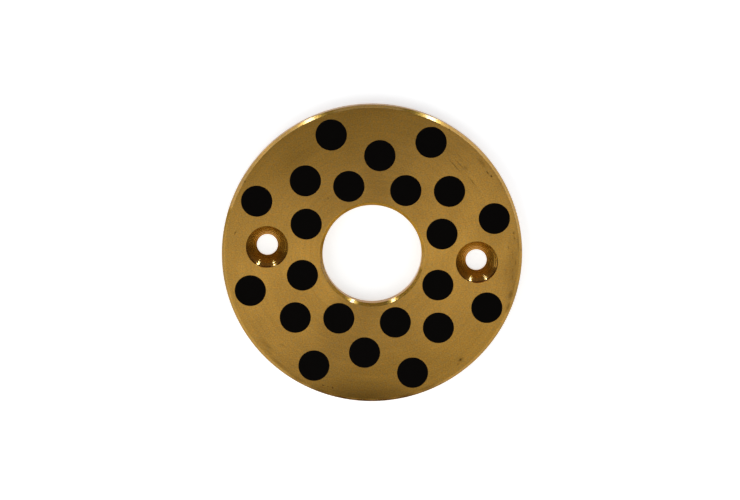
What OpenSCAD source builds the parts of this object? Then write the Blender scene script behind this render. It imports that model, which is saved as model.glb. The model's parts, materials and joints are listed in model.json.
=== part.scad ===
// Oilless thrust washer: a flat turned bronze ring that carries an axial load on its face.
// Plugs of solid lubricant fill holes drilled right through it, in three staggered rings,
// and two sunk countersinks take the screws that hold it to its seat.
// It lies on its back face at z = 0, with the axis of the bore on Z and the sliding face up.

/* [Washer] */
// Outer diameter
outer_d = 50; // [41:0.5:80]
// Bore that the shaft passes through
bore_d = 16.5; // [11:0.1:22]
// Thickness from the back face to the sliding face
thickness = 3; // [2.2:0.1:8]
// Chamfer on both edges of the rim, at 45 degrees
rim_chamfer = 0.5; // [0.1:0.05:1]
// Chamfer on both edges of the bore, at 45 degrees
bore_chamfer = 0.5; // [0.1:0.05:1]

/* [Screw holes] */
// How far the two screw holes stand outside the middle of the face
screw_offset = 0.875; // [0:0.025:2]
// Straight hole that the screw's shank passes through
screw_hole_d = 3.5; // [2.4:0.1:4.5]
// Mouth of the countersink on the sliding face
countersink_d = 7; // [5:0.1:8.5]
// Included angle of the countersink's cone
countersink_angle = 90; // [90:1:120]
// Straight length of the screw hole that is left under the cone
screw_land = 0.35; // [0.1:0.05:1]

/* [Lubricant plugs] */
// Hole drilled for a plug
plug_hole_d = 5.1; // [3:0.1:6.2]
// Thickness of the glue line around a plug
bond_gap = 0.01; // [0.005:0.005:0.05]
// Plugs in each half of the inner ring and of the outer ring; the middle ring has one less
half_ring_plugs = 4; // [3:1:4]
// Metal left between a plug hole and the chamfer of the rim or of the bore
edge_land = 0.8; // [0.2:0.1:1.5]
// Least metal between a countersink and a plug hole, and between the two plugs on either side of it
plug_clearance = 1.5; // [0.5:0.1:2]

/* [Hidden] */
$fn = 96;
// How far a cutter runs past the face that it breaks through
overrun = 1;

outer_r = outer_d / 2;
bore_r = bore_d / 2;
plug_hole_r = plug_hole_d / 2;
plug_r = plug_hole_r - bond_gap;

// The screw holes lie on X, on either side of the bore
screw_r = (outer_r + bore_r) / 2 + screw_offset;
cone_depth = (countersink_d - screw_hole_d) / 2 / tan(countersink_angle / 2);
mouth_z = screw_land + cone_depth;

// The inner and outer rings of plugs keep the same land to their edge, and the third lies midway
inner_ring_r = bore_r + bore_chamfer + edge_land + plug_hole_r;
outer_ring_r = outer_r - rim_chamfer - edge_land - plug_hole_r;
middle_ring_r = (inner_ring_r + outer_ring_r) / 2;

// Angle from X at which a plug on a ring keeps its clearance from the countersink
function clear_angle(ring_r) =
    let (apart = countersink_d / 2 + plug_clearance + plug_hole_r)
    let (cosine = (pow(screw_r, 2) + pow(ring_r, 2) - pow(apart, 2)) / (2 * screw_r * ring_r))
    cosine < 1 ? acos(cosine) : 0;

// Angle from X at which a plug keeps its clearance from its twin on the other side of X
pair_angle = asin((plug_hole_r + plug_clearance / 2) / inner_ring_r);

// The first plugs stand clear of the screw holes, and the others share out the arc between them.
// Each ring is half a pitch out of step with the next, so that the plugs sweep the whole face.
first_angle = max(clear_angle(inner_ring_r), clear_angle(outer_ring_r), pair_angle);
half_pitch = (90 - first_angle) / (half_ring_plugs - 1);

function ring_angles(start, count) =
    [for (half_turn = [0, 180]) for (i = [0 : count - 1]) half_turn + start + 2 * i * half_pitch];

edge_ring_angles = ring_angles(first_angle, half_ring_plugs);
middle_ring_angles = ring_angles(first_angle + half_pitch, half_ring_plugs - 1);

// Each plug is its name, its ring's radius and its angle from X
function ring_plugs(ring, ring_r, angles) =
    [for (i = [0 : len(angles) - 1]) [str(ring, "_plug_", i + 1), ring_r, angles[i]]];

PLUGS = concat(
    ring_plugs("inner", inner_ring_r, edge_ring_angles),
    ring_plugs("middle", middle_ring_r, middle_ring_angles),
    ring_plugs("outer", outer_ring_r, edge_ring_angles));

// Places a shape at a radius from the bore's axis and an angle from X
module at_polar(radius, angle) {
    rotate(angle) translate([radius, 0, 0]) children();
}

// The ring as it comes off the lathe, with all four edges broken
module turned_ring() {
    rotate_extrude()
        polygon([
            [bore_r + bore_chamfer, 0],
            [outer_r - rim_chamfer, 0],
            [outer_r, rim_chamfer],
            [outer_r, thickness - rim_chamfer],
            [outer_r - rim_chamfer, thickness],
            [bore_r + bore_chamfer, thickness],
            [bore_r, thickness - bore_chamfer],
            [bore_r, bore_chamfer],
        ]);
}

// Straight hole, cone and a straight mouth that sinks the screw's head below the sliding face
module screw_hole() {
    translate([0, 0, -overrun])
        cylinder(d = screw_hole_d, h = thickness + 2 * overrun);
    translate([0, 0, screw_land])
        cylinder(d1 = screw_hole_d, d2 = countersink_d, h = cone_depth);
    translate([0, 0, mouth_z])
        cylinder(d = countersink_d, h = thickness - mouth_z + overrun);
}

module plug_hole() {
    translate([0, 0, -overrun])
        cylinder(r = plug_hole_r, h = thickness + 2 * overrun);
}

module washer() {
    color("#a07a36")
        difference() {
            turned_ring();
            for (p = PLUGS)
                at_polar(p[1], p[2]) plug_hole();
            for (side = [0, 180])
                at_polar(screw_r, side) screw_hole();
        }
}

// A plug is glued into its hole and faced off flush with the washer on both sides
module plug(ring_r, angle) {
    color("#16130f")
        at_polar(ring_r, angle) cylinder(r = plug_r, h = thickness);
}

washer();
for (p = PLUGS)
    plug(p[1], p[2]);
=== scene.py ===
# %% [markdown]
# # Oilless thrust washer
#
# This washer is a flat bronze ring that takes the end thrust of a turning shaft. It needs no oil:
# plugs of graphite fill holes drilled right through it, and they smear a dry film over the sliding
# face as it works. Two countersunk holes take the screws that hold the washer to its seat.
#
# The CAD model already gives every piece its size and its place. It is loaded first, as a fixed
# frame, and this lesson builds around it: the camera, the finishes, a finer mesh for each piece
# with broken edges and tool marks, the floor and the light.

# %% Load the CAD model
import json
import math

import bmesh
import bpy
from mathutils import Matrix, Vector


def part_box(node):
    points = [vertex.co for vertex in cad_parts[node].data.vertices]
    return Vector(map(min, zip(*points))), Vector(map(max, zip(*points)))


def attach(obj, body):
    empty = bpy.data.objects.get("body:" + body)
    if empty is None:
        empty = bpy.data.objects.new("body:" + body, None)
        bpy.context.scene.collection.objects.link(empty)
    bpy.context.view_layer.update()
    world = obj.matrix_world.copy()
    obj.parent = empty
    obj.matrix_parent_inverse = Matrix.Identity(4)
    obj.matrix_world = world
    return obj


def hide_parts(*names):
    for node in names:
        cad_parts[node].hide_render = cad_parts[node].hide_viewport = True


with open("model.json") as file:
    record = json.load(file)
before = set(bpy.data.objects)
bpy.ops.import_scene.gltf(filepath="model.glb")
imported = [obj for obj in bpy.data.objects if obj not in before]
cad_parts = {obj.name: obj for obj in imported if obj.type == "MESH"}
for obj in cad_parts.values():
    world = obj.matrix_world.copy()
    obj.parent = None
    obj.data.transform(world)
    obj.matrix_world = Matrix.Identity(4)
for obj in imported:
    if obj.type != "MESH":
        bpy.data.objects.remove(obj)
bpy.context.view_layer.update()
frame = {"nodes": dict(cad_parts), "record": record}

# %% [markdown]
# ## Sizes
#
# A maker reads sizes off a drawing. Here the drawing is the CAD model: its boxes and its mounts
# give the outside, the bore and the screw holes, so the mesh can't drift away from the part. Only
# the small sizes that no box shows, such as chamfers, are written down again. Everything is in
# millimetres until a mesh is finished, because Blender's own metre would make a chamfer 0.0005.

# %% Read the sizes of the washer
MM = 0.001

mounts = {mount["name"]: mount["dims"] for mount in frame["record"]["mounts"]}
washer_low, washer_high = (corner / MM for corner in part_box("washer"))

outer_r = min(washer_high.x, washer_high.y, -washer_low.x, -washer_low.y)
thickness = washer_high.z
bore_r = mounts["bore"]["r_mm"]
screw_hole_r = mounts["screw_holes"]["hole_r_mm"]
screw_circle_r = mounts["screw_holes"]["pcd_mm"] / 2

rim_chamfer = 0.5
bore_chamfer = 0.5
countersink_r = 3.5
countersink_mouth = 0.9
screw_land = 0.35
bond_gap = 0.01

print("washer", outer_r * 2, "x", thickness, "bore", bore_r * 2, "screw circle", screw_circle_r * 2)

# %% Find the plugs
plug_nodes = sorted(name for name in frame["nodes"] if name != "washer")
plug_centres = {}
for node in plug_nodes:
    corner, far_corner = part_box(node)
    plug_centres[node] = (corner + far_corner) / 2 / MM
    plug_r = (far_corner.x - corner.x) / 2 / MM
plug_hole_r = plug_r + bond_gap

print(len(plug_nodes), "plugs of radius", round(plug_r, 3))

# %% [markdown]
# ## Camera
#
# The photograph looks almost straight down on the washer from a little way off, so the ring is
# nearly round and only a sliver of its wall shows. A long lens keeps that flat look. The camera
# stands on a sphere around the middle of the sliding face: it leans past the upright towards +Y,
# a touch to the left, and is rolled a few degrees, because the screw holes aren't level in the
# picture. Building its axes from those angles is easier to follow than three Euler turns.

# %% Place the camera
camera_distance = 480.0
camera_lean = math.radians(9.2)
camera_swing = math.radians(-1.68)
camera_roll = math.radians(4.43)
aim_right = -0.36
aim_up = 0.775
sensor_width = 36
lens_length = 140.5

back = Vector((
    math.sin(camera_swing),
    math.sin(camera_lean) * math.cos(camera_swing),
    math.cos(camera_lean) * math.cos(camera_swing),
))
level_right = Vector((0, 1, 0)).cross(back).normalized()
right = Matrix.Rotation(camera_roll, 3, back) @ level_right
up = back.cross(right)
stand = Vector((0, 0, thickness)) + back * camera_distance + right * aim_right + up * aim_up
axes = Matrix((right, up, back)).transposed().to_4x4()

lens = bpy.data.cameras.new("studio_camera")
lens.sensor_width = sensor_width
lens.lens = lens_length
camera = bpy.data.objects.new("studio_camera", lens)
camera.matrix_world = Matrix.Translation(stand * MM) @ axes
bpy.context.scene.collection.objects.link(camera)
bpy.context.scene.camera = camera
print("camera at", [round(v, 1) for v in stand], "mm")

# %% [markdown]
# ## Three helpers for materials
#
# Colours are easiest to write as the hex values that a picture shows, but shaders work in linear
# light, so one function turns one into the other. Node trees are built by code here. A second
# helper starts a material with an empty tree, and a third adds a node, its settings and its links
# in one call. A value can be a number, another node's socket or a node, which stands for its first
# output.

# %% Colour, material and node helpers
def linear(hex_colour):
    shares = [int(hex_colour[i:i + 2], 16) / 255 for i in (1, 3, 5)]
    return [s / 12.92 if s <= 0.04045 else ((s + 0.055) / 1.055) ** 2.4 for s in shares] + [1.0]


def blank_material(name):
    material = bpy.data.materials.new(name)
    material.use_nodes = True
    material.node_tree.nodes.clear()
    return material, material.node_tree


def add(tree, kind, inputs, **settings):
    node = tree.nodes.new(kind)
    for name, value in settings.items():
        setattr(node, name, value)
    for key, value in inputs.items():
        named = [socket for socket in node.inputs if socket.enabled and socket.name == key]
        socket = node.inputs[key] if isinstance(key, int) else named[0]
        if isinstance(value, bpy.types.Node):
            value = [output for output in value.outputs if output.enabled][0]
        if isinstance(value, bpy.types.NodeSocket):
            tree.links.new(value, socket)
        else:
            socket.default_value = value
    return node


print("bronze brown as linear light", [round(v, 3) for v in linear("#a98036")])

# %% [markdown]
# ## Marks of handling, and painted shade
#
# This washer has been handled and fitted, and it shows: small nicks near the rim, a rubbed patch on
# its right, a few faint scratches and scuffs on its left. Along the front edge a dark band is painted
# shade, darkest on the chamfer. An image could be painted for them, but a short list is easier to
# change. Each mark is a soft ellipse on the sliding face, given by where it lies and how long, wide
# and dark it is. Its length follows the lathe grooves unless it leans off them.

# %% List the marks and the painted shade
marks_and_painted_shade = [
    # radius, angle from X, length, width, lean off the groove in degrees, darkness
    # Nicks
    (24.5, 63, 0.5, 0.35, 0, 0.6),
    (24.4, 154, 0.55, 0.4, 0, 0.65),
    (23.0, 175, 0.95, 0.4, -19, 0.65),
    (23.5, 40, 0.85, 0.35, 0, 0.9),
    (23.7, 38, 0.5, 0.4, 0, 0.9),
    (12.0, 132, 0.45, 0.4, 0, 0.5),
    (11.5, 179, 0.4, 0.4, 0, 0.3),
    (23.6, -106, 0.5, 0.4, 0, 0.9),
    (23.5, -104, 0.45, 0.35, 0, 0.8),
    (23.5, -102, 0.5, 0.4, 0, 0.9),
    (24.6, -101, 0.6, 0.45, 0, 0.9),
    (24.8, -58, 0.5, 0.4, 0, 0.6),
    (23.2, -46, 0.95, 0.6, 10, 0.85),
    (23.5, -48, 0.5, 0.4, 0, 0.5),
    (23.2, -46, 1.8, 1.1, 20, 0.25),
    # Rubbed patch on the right
    (23.8, 13, 0.8, 0.45, 0, 0.6),
    (23.8, 11, 1.1, 0.4, 0, 0.55),
    (24.8, 6, 0.6, 0.5, 0, 0.5),
    (23.9, 1, 1.7, 0.45, 0, 0.5),
    (23.5, -2, 1.3, 0.45, 0, 0.45),
    (22.7, 7, 1.2, 0.5, 0, 0.4),
    (23.7, -5, 1.9, 0.6, 0, 0.45),
    (24.1, -12, 2.6, 1.2, 0, 0.5),
    (24.4, -17, 2.6, 0.9, 0, 0.5),
    (24.3, 8, 4.0, 0.3, 0, 0.35),
    (23.4, 4, 4.0, 0.3, 0, 0.4),
    (24.2, -8, 5.0, 0.4, 0, 0.35),
    (22.5, -3, 2.4, 0.4, 0, 0.3),
    (23.4, -1, 13.0, 3.6, 0, 0.22),
    # Scratches
    (20.2, 52, 3.8, 0.28, -5, 0.55),
    (20.9, 50, 4.8, 0.28, -3, 0.4),
    (20.6, 40.5, 2.8, 0.28, 4, 0.45),
    (21.2, 47.5, 1.4, 0.5, 0, 0.35),
    (21.9, 53, 3.0, 0.2, -6, 0.3),
    (23.8, 44.5, 3.0, 0.9, 0, 0.3),
    # Scuffs and a dull cloud on the left
    (20.5, 133, 10.0, 5.5, 0, 0.12),
    (24.2, 141, 2.2, 0.8, 0, 0.15),
    (23.4, -135, 5.0, 1.4, 8, 0.2),
    (23.3, -134, 1.7, 0.5, 10, 0.35),
    (23.8, -132, 3.0, 0.4, 5, 0.25),
    (21.4, -130, 2.2, 0.5, 20, 0.25),
    (24.1, -126, 5.0, 0.7, 0, 0.25),
    # Painted shade along the front edge, darkest on the chamfer
    (25.3, -88, 30.0, 9.0, 0, 0.56),
    (24.8, -116, 6.0, 1.5, 0, 0.5),
    (24.85, -105, 11.0, 1.5, 0, 0.85),
    (24.85, -97, 11.0, 1.5, 0, 0.95),
    (24.85, -89, 11.0, 1.5, 0, 0.95),
    (24.85, -81, 11.0, 1.5, 0, 0.95),
    (24.85, -73, 11.0, 1.5, 0, 0.9),
    (24.8, -64, 6.0, 1.5, 0, 0.6),
]
print(len(marks_and_painted_shade), "marks")

# %% [markdown]
# A Mapping node set to Texture moves the point that is shaded into the ellipse's own frame, where the
# ellipse is simply a distance of 1. Noise frays its edge, and its inner fifth is evenly dark. A mark
# fades out two millimetres below the face, so the painted shade at the front rim runs down over the
# chamfer. Where marks overlap, the darkest one counts.

# %% Draw the marks and the painted shade
fray = 0.25
mark_core = 0.2
mark_depth = 2.0


def handled_and_shaded(tree, place):
    # Gives the darkness of the marks and of the painted shade at the point that is shaded, from 0 to 1
    noise = add(tree, "ShaderNodeTexNoise", {"Vector": place, "Scale": 1 / fray, "Detail": 1.0})
    frayed = add(tree, "ShaderNodeVectorMath", {
        0: noise.outputs["Color"],
        1: (fray, fray, 0),
        2: place,
    }, operation="MULTIPLY_ADD")
    darkness = 0.0
    for radius, angle, length, width, lean, dark in marks_and_painted_shade:
        turn = math.radians(angle)
        ellipse = add(tree, "ShaderNodeMapping", {
            "Vector": frayed,
            "Location": (
                radius * math.cos(turn) + fray / 2,
                radius * math.sin(turn) + fray / 2,
                thickness,
            ),
            "Rotation": (0, 0, turn + math.pi / 2 + math.radians(lean)),
            "Scale": (length / 2, width / 2, mark_depth),
        }, vector_type="TEXTURE")
        away = add(tree, "ShaderNodeVectorMath", {0: ellipse}, operation="LENGTH").outputs["Value"]
        mark = add(tree, "ShaderNodeMapRange", {
            "Value": away,
            "From Min": mark_core,
            "From Max": 1.0,
            "To Min": dark,
            "To Max": 0.0,
        })
        darkness = add(tree, "ShaderNodeMath", {0: mark, 1: darkness}, operation="MAXIMUM")
    return darkness


print("marks fray by", fray, "mm and fade", mark_depth, "mm down")

# %% [markdown]
# In each countersink the straight mouth and the corner under it are painted darker, as shade in the
# recess, and the darkness simply grows with the height.

# %% Painted shade in the corner of a countersink
corner_shade_reach = 0.12
corner_shade_dark = 0.8
corner_shade_top = thickness - countersink_mouth


def painted_corner_shade(tree, place):
    # Painted shade: full on the straight mouth, fading out down the top of the cone
    height = add(tree, "ShaderNodeSeparateXYZ", {"Vector": place}).outputs["Z"]
    return add(tree, "ShaderNodeMapRange", {
        "Value": height,
        "From Min": corner_shade_top - corner_shade_reach,
        "From Max": corner_shade_top,
        "To Min": 0.0,
        "To Max": corner_shade_dark,
    })


print("dirt from", round(corner_shade_top - corner_shade_reach, 2), "mm up")

# %% [markdown]
# ## Turned bronze
#
# The ring is cast bronze, faced and chamfered in a lathe. The tool leaves a spiral of shallow
# grooves, finer than the eye can part, and they spread a highlight across the groove and not
# along it. So the sides of the face, where the grooves run up and down, catch the light boxes on
# the left and right, and the top and bottom stay browner. That is anisotropy, and it needs the
# groove's direction as a tangent, which runs round the lathe's centre. A countersink is cut about
# its own centre, so its bronze takes that centre instead.

# %% Find a point's place on the lathe
ring_centre = (0, 0)
screw_centres = {"left": (-screw_circle_r, 0), "right": (screw_circle_r, 0)}


def lathe_place(tree, centre):
    # Gives the point in millimetres from the centre, its radius, its direction and its groove's
    place = add(tree, "ShaderNodeMapping", {
        "Vector": add(tree, "ShaderNodeTexCoord", {}).outputs["Object"],
        "Location": (-centre[0], -centre[1], 0),
        "Scale": (1 / MM, 1 / MM, 1 / MM),
    })
    flat = add(tree, "ShaderNodeVectorMath", {0: place, 1: (1, 1, 0)}, operation="MULTIPLY")
    radius = add(tree, "ShaderNodeVectorMath", {0: flat}, operation="LENGTH").outputs["Value"]
    outward = add(tree, "ShaderNodeVectorMath", {0: flat}, operation="NORMALIZE")
    groove = add(tree, "ShaderNodeVectorMath", {0: (0, 0, 1), 1: flat}, operation="CROSS_PRODUCT")
    return place, radius, outward, groove


print("lathe centres", ring_centre, *screw_centres.values())

# %% [markdown]
# What shows of the grooves is drawn coarser than they are, as rings of about half a millimetre that
# change a little on their way round. The cast grain is noise at a few tenths of a millimetre, with a
# finer grit over it, and the stains are noise at a few millimetres.

# %% Rings, grain, grit and stains
ring_pitch = 0.5
ring_wander = 2.0
grain_size = 0.38
grit_size = 0.2
stain_size = 4.5


def bronze_patterns(tree, place, radius, outward):
    turn = add(tree, "ShaderNodeSeparateXYZ", {"Vector": outward}).outputs
    ring_place = add(tree, "ShaderNodeCombineXYZ", {
        "X": add(tree, "ShaderNodeMath", {0: radius, 1: 1 / ring_pitch}, operation="MULTIPLY"),
        "Y": add(tree, "ShaderNodeMath", {0: turn["X"], 1: ring_wander}, operation="MULTIPLY"),
        "Z": add(tree, "ShaderNodeMath", {0: turn["Y"], 1: ring_wander}, operation="MULTIPLY"),
    })
    rings = add(tree, "ShaderNodeTexNoise", {"Vector": ring_place, "Scale": 1.0, "Detail": 2.0})
    grain = add(tree, "ShaderNodeTexNoise", {"Vector": place, "Scale": 1 / grain_size, "Detail": 2.0})
    grit = add(tree, "ShaderNodeTexNoise", {"Vector": place, "Scale": 1 / grit_size, "Detail": 1.0})
    stains = add(tree, "ShaderNodeTexNoise", {"Vector": place, "Scale": 1 / stain_size, "Detail": 3.0})
    return rings, grain, grit, stains


print("rings of", ring_pitch, "mm, grain of", grain_size, "mm, grit of", grit_size, "mm")

# %% [markdown]
# The grain shifts the brown towards a redder or a greyer one. Grit, rings and stains only make it
# lighter and darker, each by its own share. Painted shade makes the face a little darker towards the
# rim, and the rim's chamfer darker still.

# %% Colour of the bronze
noise_middle = 0.5
grain_reach = 0.22
grit_low = 0.25
grit_high = 0.75
grit_share = 0.22
ring_share = 0.14
stain_share = 0.14
# Painted shade towards the rim: the face from this radius on, and the rim's chamfer more
fade_from_r = 16
painted_face_fade = 0.95
painted_rim_shade = 0.83


def bronze_colour(tree, tones, radius, rings, grain, grit, stains):
    clean, red, grey = tones
    colour = linear(clean)
    for tone, reach in ((red, grain_reach), (grey, -grain_reach)):
        colour = add(tree, "ShaderNodeMix", {
            "Factor": add(tree, "ShaderNodeMapRange", {
                "Value": grain,
                "From Min": noise_middle,
                "From Max": noise_middle + reach,
            }),
            "A": colour,
            "B": linear(tone),
        }, data_type="RGBA")
    shade = 1.0
    for pattern, low, high, at_low, at_high, step in (
        (grit, grit_low, grit_high, 1 - grit_share, 1 + grit_share, "LINEAR"),
        (rings, 0, 1, 1 - ring_share, 1 + ring_share, "LINEAR"),
        (stains, 0, 1, 1 - stain_share, 1 + stain_share, "LINEAR"),
        # These two rows are painted shade, on the face near the rim and on the rim's chamfer
        (radius, fade_from_r, outer_r, 1, painted_face_fade, "SMOOTHSTEP"),
        (radius, outer_r - rim_chamfer, outer_r - rim_chamfer / 2, 1, painted_rim_shade, "LINEAR"),
    ):
        change = add(tree, "ShaderNodeMapRange", {
            "Value": pattern,
            "From Min": low,
            "From Max": high,
            "To Min": at_low,
            "To Max": at_high,
        }, interpolation_type=step)
        shade = add(tree, "ShaderNodeMath", {0: change, 1: shade}, operation="MULTIPLY")
    return add(tree, "ShaderNodeHueSaturation", {"Color": colour, "Value": shade})


print("face fades to", painted_face_fade, "at the rim, and its chamfer to", painted_rim_shade)

# %% [markdown]
# Bronze seen at a low angle still looks golden, as on the wall of the bore, and the specular tint of
# the shader keeps it so. An anisotropic rotation of a quarter turn lays the spread of a highlight
# across the grooves. The oil that the washer was packed in is a thin coat. Where the marks and the
# painted shade mix a dark brown into the bronze, the coat thins in step. The roughness follows the
# stains, so the finish isn't the same all over.

# %% Bronze that was turned about a centre
grazing_gold = "#e2b660"
# The dark brown that the marks and the painted shade mix into the bronze
mark_and_shade_brown = "#36220a"
across_groove = 0.25
film_roughness = 0.1
stain_reach = 0.2
stain_dulling = 0.03
bump_strength = 0.1
bump_height = 0.01


def turned_bronze(name, centre, tones, darkened, roughness, spread, oil):
    material, tree = blank_material(name)
    place, radius, outward, groove = lathe_place(tree, centre)
    rings, grain, grit, stains = bronze_patterns(tree, place, radius, outward)
    # Darkness of the marks and of the painted shade
    marks_and_shade = darkened(tree, place)
    bronze = add(tree, "ShaderNodeBsdfPrincipled", {
        "Metallic": 1.0,
        "Specular Tint": linear(grazing_gold),
        "Coat Roughness": film_roughness,
        "Anisotropic": spread,
        "Anisotropic Rotation": across_groove,
        "Tangent": groove,
        "Base Color": add(tree, "ShaderNodeMix", {
            "Factor": marks_and_shade,
            "A": bronze_colour(tree, tones, radius, rings, grain, grit, stains),
            "B": linear(mark_and_shade_brown),
        }, data_type="RGBA"),
        "Roughness": add(tree, "ShaderNodeMapRange", {
            "Value": stains,
            "From Min": noise_middle - stain_reach,
            "From Max": noise_middle + stain_reach,
            "To Min": roughness + stain_dulling,
            "To Max": roughness - stain_dulling,
        }),
        "Coat Weight": add(tree, "ShaderNodeMapRange", {"Value": marks_and_shade, "To Min": oil, "To Max": 0.0}),
        "Normal": add(tree, "ShaderNodeBump", {
            "Height": add(tree, "ShaderNodeMath", {0: rings, 1: grain}, operation="ADD"),
            "Strength": bump_strength,
            "Distance": bump_height * MM,
        }),
    })
    add(tree, "ShaderNodeOutputMaterial", {"Surface": bronze})
    print(name, "has", len(tree.nodes), "nodes")
    return material


# %% [markdown]
# The chamfers and countersinks are cut finer than the face, so they are smoother. Most of the oil is
# left where a cloth slides off, on the chamfers and in the countersinks, and there it turns the
# brightest glints white.

# %% Make the bronze of the face, the chamfers and the countersinks
face_tones = ("#a98036", "#b28034", "#a07d40")
chamfer_tones = ("#a8802d", "#b0802b", "#a07d35")
countersink_tones = ("#cc9b3c", "#d09836", "#c49740")

face_bronze = turned_bronze(
    "cast_bronze_turned", ring_centre, face_tones, handled_and_shaded,
    roughness=0.32, spread=0.65, oil=0.12,
)
chamfer_bronze = turned_bronze(
    "cast_bronze_chamfered", ring_centre, chamfer_tones, handled_and_shaded,
    roughness=0.27, spread=0.65, oil=0.5,
)
countersink_bronze = {}
for side, centre in screw_centres.items():
    countersink_bronze[side] = turned_bronze(
        f"cast_bronze_{side}_countersink", centre, countersink_tones, painted_corner_shade,
        roughness=0.2, spread=0.5, oil=1.0,
    )

# %% [markdown]
# ## Graphite
#
# The plugs are pressed graphite, glued in and then faced off with the ring in the same cut. Faced
# graphite is a soft black with hardly any shine, so the specular level is low and the roughness
# high. The grain of the pressed powder breaks the black up a little.

# %% Faced graphite
graphite_shine = 0.02
powder_strength = 0.3

graphite, graphite_tree = blank_material("graphite_pressed_and_faced")
powder = add(graphite_tree, "ShaderNodeTexNoise", {
    "Vector": add(graphite_tree, "ShaderNodeMapping", {
        "Vector": add(graphite_tree, "ShaderNodeTexCoord", {}).outputs["Object"],
        "Scale": (1 / MM, 1 / MM, 1 / MM),
    }),
    "Scale": 1 / grain_size,
    "Detail": 3.0,
})
black = add(graphite_tree, "ShaderNodeBsdfPrincipled", {
    "Specular IOR Level": graphite_shine,
    "Base Color": add(graphite_tree, "ShaderNodeMix", {
        "Factor": powder,
        "A": linear("#070504"),
        "B": linear("#0c0a08"),
    }, data_type="RGBA"),
    "Roughness": add(graphite_tree, "ShaderNodeMapRange", {
        "Value": powder,
        "To Min": 0.5,
        "To Max": 0.75,
    }),
    "Normal": add(graphite_tree, "ShaderNodeBump", {
        "Height": powder,
        "Strength": powder_strength,
        "Distance": bump_height * MM,
    }),
})
add(graphite_tree, "ShaderNodeOutputMaterial", {"Surface": black})
print(graphite.name, "has", len(graphite_tree.nodes), "nodes")

# %% [markdown]
# ## A lathe in code
#
# Nearly every surface here is turned: the rim, the bore, the drilled holes, the countersinks and
# the plugs. Each is an outline, a few points of radius and height, spun once around its axis, just
# as a lathe makes it. Cylinders and booleans would give the same shape, but they leave edges that
# are mathematically sharp, and no real edge is. So each inner point of an outline is first cut back
# by a small edge break, with a vertex bevel, as a file or a deburring tool does it. The spun surface
# is kept as a mesh, and put into a piece as often as the piece needs it.

# %% Spin an outline and put it in place
def spin_outline(outline, steps):
    # The last number of each point is its edge break, and 0 leaves the point alone
    bm = bmesh.new()
    points = [bm.verts.new((radius, 0, height)) for radius, height, _ in outline]
    for start, end in zip(points, points[1:]):
        bm.edges.new((start, end))
    for point, (_, _, edge_break) in zip(points, outline):
        if edge_break:
            bmesh.ops.bevel(bm, geom=[point], offset=edge_break, offset_type="OFFSET",
                            affect="VERTICES", segments=1, profile=0.5, material=-1)
    bmesh.ops.spin(bm, geom=[*bm.verts, *bm.edges], cent=(0, 0, 0), axis=(0, 0, 1),
                   angle=math.tau, steps=steps, use_merge=True)
    surface = bpy.data.meshes.new("spun_outline")
    bm.to_mesh(surface)
    bm.free()
    print("spun", len(outline), "points into", len(surface.polygons), "faces")
    return surface


def put_at(bm, surface, centre):
    # Returns the new faces, in millimetres like the rest until the piece is finished
    verts_before = len(bm.verts)
    faces_before = len(bm.faces)
    bm.from_mesh(surface)
    bm.verts.ensure_lookup_table()
    bm.faces.ensure_lookup_table()
    bmesh.ops.translate(bm, vec=(*centre, 0), verts=bm.verts[verts_before:])
    return bm.faces[faces_before:]


# %% [markdown]
# Shading is smooth round every circle, but a turned edge must stay crisp: wherever two faces meet at
# more than twenty degrees, the edge between them is marked sharp. A flat face then shades flat right
# up to its edge break, and only the low chatter rings of the countersinks blend.

# %% Finish a piece
crisp_angle = math.radians(20)


def finish_piece(bm, name, materials, node):
    bmesh.ops.recalc_face_normals(bm, faces=bm.faces)
    bmesh.ops.scale(bm, vec=(MM, MM, MM), verts=bm.verts)
    for face in bm.faces:
        face.smooth = True
    for edge in bm.edges:
        edge.smooth = edge.calc_face_angle(0) < crisp_angle
    open_edges = sum(not edge.is_manifold for edge in bm.edges)
    mesh = bpy.data.meshes.new(name)
    bm.to_mesh(mesh)
    bm.free()
    for material in materials:
        mesh.materials.append(material)
    piece = bpy.data.objects.new(name, mesh)
    bpy.context.scene.collection.objects.link(piece)
    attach(piece, "root")
    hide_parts(node)
    print(name, "has", len(mesh.polygons), "faces and", open_edges, "open edges")


# %% [markdown]
# ## The washer's rim and bore
#
# The rim and the bore each have a chamfer of half a millimetre on both edges. The outlines reach
# a little way in over the flat faces, so that the edge break between face and chamfer is part of
# the spin and the flat face itself stays exactly flat. All that lies off the two flat planes takes
# the finer bronze of the chamfers.

# %% Spin the rim and the bore
face_land = 0.2
chamfer_break = 0.025
rim_steps = 256
bore_steps = 160
flat_margin = 0.01

washer_materials = [face_bronze, chamfer_bronze, *countersink_bronze.values(), graphite]
chamfer_slot = washer_materials.index(chamfer_bronze)

rim_outline = [
    (outer_r - rim_chamfer - face_land, thickness, 0),
    (outer_r - rim_chamfer, thickness, chamfer_break),
    (outer_r, thickness - rim_chamfer, chamfer_break),
    (outer_r, rim_chamfer, chamfer_break),
    (outer_r - rim_chamfer, 0, chamfer_break),
    (outer_r - rim_chamfer - face_land, 0, 0),
]
bore_outline = [
    (bore_r + bore_chamfer + face_land, thickness, 0),
    (bore_r + bore_chamfer, thickness, chamfer_break),
    (bore_r, thickness - bore_chamfer, chamfer_break),
    (bore_r, bore_chamfer, chamfer_break),
    (bore_r + bore_chamfer, 0, chamfer_break),
    (bore_r + bore_chamfer + face_land, 0, 0),
]
washer_bm = bmesh.new()
for outline, steps in ((rim_outline, rim_steps), (bore_outline, bore_steps)):
    for face in put_at(washer_bm, spin_outline(outline, steps), ring_centre):
        if flat_margin < face.calc_center_median().z < thickness - flat_margin:
            face.material_index = chamfer_slot
print("rim and bore", len(washer_bm.faces), "faces")

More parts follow.
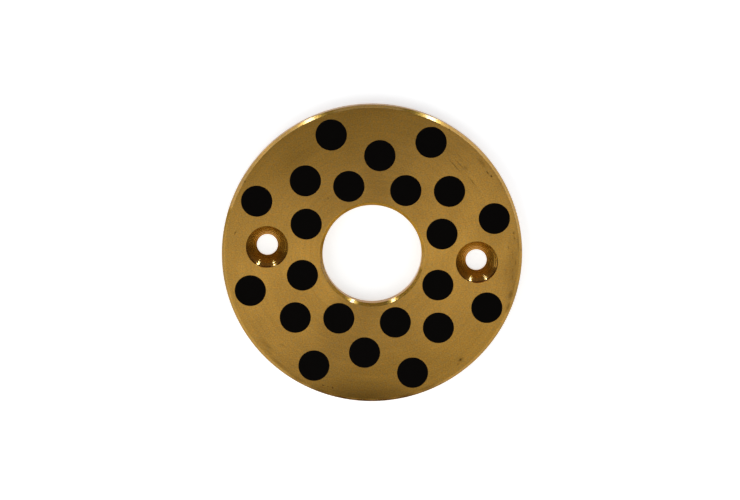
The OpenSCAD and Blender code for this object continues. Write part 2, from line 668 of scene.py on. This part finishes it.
# %% [markdown]
# ## The plug holes
#
# Each plug sits in a straight hole that is drilled right through and barely deburred. The hole is
# wider than its plug by a glue line of a hundredth of a millimetre all round. When the face is cut,
# the tool drags a little graphite over the edge of each hole, so a hair's breadth of bronze around
# the plug is blackened too. The outline reaches just that far, and its faces take the graphite.

# %% Spin the plug holes
hole_break = 0.015
hole_steps = 96
smear = 0.055
graphite_slot = washer_materials.index(graphite)

plug_hole = spin_outline([
    (plug_hole_r + smear, thickness, 0),
    (plug_hole_r, thickness, hole_break),
    (plug_hole_r, 0, hole_break),
    (plug_hole_r + smear, 0, 0),
], hole_steps)
for centre in plug_centres.values():
    for face in put_at(washer_bm, plug_hole, centre.xy):
        face.material_index = graphite_slot
print("with plug holes", len(washer_bm.faces), "faces")

# %% [markdown]
# ## The screw holes
#
# A countersink cuts a cone for the screw's head, and it is driven a little deeper than the head is
# tall, which leaves a short straight mouth above the cone. Its lips chatter as they cut, so the
# cone carries rings, some deeper than others. They are about a hundredth of a millimetre deep, and
# real geometry: each ring bends the light, and the cone shows light and dark circles instead of
# one smooth shine. Four points make one ring, because smooth shading would average two to nothing.

# %% Chatter rings on a cone
chatter_depths = (0.005, 0.009, 0.004, 0.010, 0.007, 0.004)


def chattered_cone(top, bottom):
    into_metal = Vector((bottom.y - top.y, top.x - bottom.x)).normalized() * -1
    points = []
    for ring, depth in enumerate(chatter_depths):
        for quarter, side in enumerate((0, 1, 0, -1)):
            along = (ring + quarter / 4) / len(chatter_depths)
            point = top.lerp(bottom, along) + into_metal * side * depth
            points.append((point.x, point.y, 0))
    return points[1:]


cone_top = Vector((countersink_r, thickness - countersink_mouth))
cone_bottom = Vector((screw_hole_r, screw_land))
cone_points = chattered_cone(cone_top, cone_bottom)
print(len(cone_points), "points down the cone")

# %% Spin the screw holes
mouth_break = 0.03
screw_steps = 128

screw_hole = spin_outline([
    (countersink_r + face_land, thickness, 0),
    (countersink_r, thickness, mouth_break),
    (*cone_top, 0),
    *cone_points,
    (*cone_bottom, 0),
    (screw_hole_r, 0, mouth_break),
    (screw_hole_r + face_land, 0, 0),
], screw_steps)
for side, centre in screw_centres.items():
    countersink_slot = washer_materials.index(countersink_bronze[side])
    for face in put_at(washer_bm, screw_hole, centre):
        if face.calc_center_median().z < thickness - mouth_break:
            face.material_index = countersink_slot
print("with screw holes", len(washer_bm.faces), "faces")

# %% [markdown]
# ## The two flat faces
#
# Now every hole has an open edge in the plane of the sliding face and another in the plane of the
# back face. Filling each plane between its edges closes the ring.

# %% Close the washer
for height, facing in ((thickness, 1), (0, -1)):
    edges = [
        edge for edge in washer_bm.edges
        if edge.is_boundary and all(abs(vert.co.z - height) < flat_margin for vert in edge.verts)
    ]
    bmesh.ops.triangle_fill(washer_bm, edges=edges, use_beauty=True, normal=(0, 0, facing))

finish_piece(washer_bm, "turned_washer", washer_materials, "washer")

# %% [markdown]
# ## The graphite plugs
#
# A plug is a short rod with its edges broken. Facing tears graphite a little below the bronze, so
# each end lies a hundredth of a millimetre under the face, and the plug never stands proud.

# %% Make the plugs
plug_recess = 0.01
plug_break = 0.015

plug_skin = spin_outline([
    (plug_r / 2, thickness - plug_recess, 0),
    (plug_r, thickness - plug_recess, plug_break),
    (plug_r, plug_recess, plug_break),
    (plug_r / 2, plug_recess, 0),
], hole_steps)
for node, centre in plug_centres.items():
    plug_bm = bmesh.new()
    put_at(plug_bm, plug_skin, centre.xy)
    bmesh.ops.holes_fill(plug_bm, edges=plug_bm.edges)
    finish_piece(plug_bm, f"graphite_{node}", [graphite], node)

# %% [markdown]
# ## The floor
#
# The washer lies on a plain white sweep. A white background is easy to get by pouring on light, but
# that would wash out the bronze. Under plain light the paper comes out a pale grey. So it also glows,
# only for rays that come from the camera or from a reflection, by as much as it lacks to be white.
# The glow is added to the light that falls on the paper, so the washer keeps its soft shadow.

# %% White paper
floor_glow = 0.62

paper, paper_tree = blank_material("white_paper_sweep")
ray = add(paper_tree, "ShaderNodeLightPath", {}).outputs
seen = 0.0
for kind_of_ray in ("Is Camera Ray", "Is Glossy Ray", "Is Transmission Ray"):
    seen = add(paper_tree, "ShaderNodeMath", {0: ray[kind_of_ray], 1: seen}, operation="MAXIMUM")
glow = add(paper_tree, "ShaderNodeMath", {0: seen, 1: floor_glow}, operation="MULTIPLY")
sheet = add(paper_tree, "ShaderNodeAddShader", {
    0: add(paper_tree, "ShaderNodeBsdfDiffuse", {"Color": linear("#eeeeec")}),
    1: add(paper_tree, "ShaderNodeEmission", {"Color": linear("#ffffff"), "Strength": glow}),
})
add(paper_tree, "ShaderNodeOutputMaterial", {"Surface": sheet})
print(paper.name, "has", len(paper_tree.nodes), "nodes")

# %% Lay the floor
floor_gap = 0.02
floor_half = 2000

floor_bm = bmesh.new()
bmesh.ops.create_grid(floor_bm, x_segments=1, y_segments=1, size=floor_half * MM)
bmesh.ops.translate(floor_bm, vec=(0, 0, -floor_gap * MM), verts=floor_bm.verts)
floor_mesh = bpy.data.meshes.new("pale_floor")
floor_bm.to_mesh(floor_mesh)
floor_bm.free()
floor_mesh.materials.append(paper)
floor = bpy.data.objects.new("pale_floor", floor_mesh)
bpy.context.scene.collection.objects.link(floor)
print("floor", 2 * floor_half, "mm wide")

# %% [markdown]
# ## The light
#
# Light boxes stand around the washer as in a small product studio. Soft ones on the left and right
# and a dim one overhead light the sliding face. Two bright strips low at the far edge make the pairs
# of glints on the chamfers and in the countersinks. They are cool like the daylight of a window,
# because bronze would turn a warm lamp to yellow, and the glints are cream. Low white cards stand all
# round: a chamfer of 45 degrees that is seen from above mirrors only what stands level with it, and
# without cards it would turn black. The countersinks are sunk too deep to see the cards, and stay
# dark.
#
# Each box is given by where it stands, by the brightness that a mirror would show of it, where 1 is
# white, and by its colour. Its power follows from its area.

# %% Set up the light boxes
lamp = "#ffffff"
daylight = "#bcd0ff"
light_boxes = {
    # name: (azimuth, elevation, distance, width, height, brightness, colour)
    "overhead_box": (-67, 81, 140, 121, 43, 1.02, lamp),
    "left_box": (207, 35, 195, 249, 249, 1.22, lamp),
    "right_box": (-35, 35, 314, 242, 242, 0.9, lamp),
    "right_high_box": (-45, 55, 250, 150, 150, 0.85, lamp),
    "far_left_strip": (122, 8.5, 340, 24, 90, 30.0, daylight),
    "far_right_strip": (67, 8.5, 340, 24, 90, 41.0, daylight),
    "left_card": (145, 3.8, 85, 87, 11.3, 2.4, lamp),
    "right_card": (26, 3.8, 85, 156, 11.3, 2.3, lamp),
    "far_right_card": (53, 3.8, 85, 40, 11.3, 0.7, lamp),
    "back_card": (95, 3.8, 400, 220, 50, 1.5, lamp),
    "front_card": (-90, 8, 200, 200, 60, 2.0, lamp),
    "left_front_card": (-135, 5, 300, 200, 50, 1.1, lamp),
    "right_front_card": (-40, 5, 300, 200, 50, 1.8, lamp),
}

for name, (azimuth, elevation, distance, width, height, brightness, colour) in light_boxes.items():
    rise = math.radians(elevation)
    swing = Matrix.Rotation(math.radians(azimuth), 3, "Z")
    towards_box = swing @ Vector((math.cos(rise), 0, math.sin(rise)))
    box_light = bpy.data.lights.new(name, "AREA")
    box_light.shape = "RECTANGLE"
    box_light.size = width * MM
    box_light.size_y = height * MM
    box_light.energy = brightness * math.pi * box_light.size * box_light.size_y
    box_light.color = linear(colour)[:3]
    box = bpy.data.objects.new(name, box_light)
    facing_washer = towards_box.to_track_quat("Z", "Y").to_matrix().to_4x4()
    box.matrix_world = Matrix.Translation(towards_box * distance * MM) @ facing_washer
    box.visible_camera = False
    bpy.context.scene.collection.objects.link(box)
print(len(light_boxes), "light boxes")

# %% Fill the room with a little light
room_brightness = 0.1

room = bpy.data.worlds.new("studio_room")
room.use_nodes = True
room_light = room.node_tree.nodes["Background"].inputs
room_light["Color"].default_value = linear(lamp)
room_light["Strength"].default_value = room_brightness
bpy.context.scene.world = room
bpy.context.scene.view_settings.view_transform = "Standard"
print("room at", room_brightness)
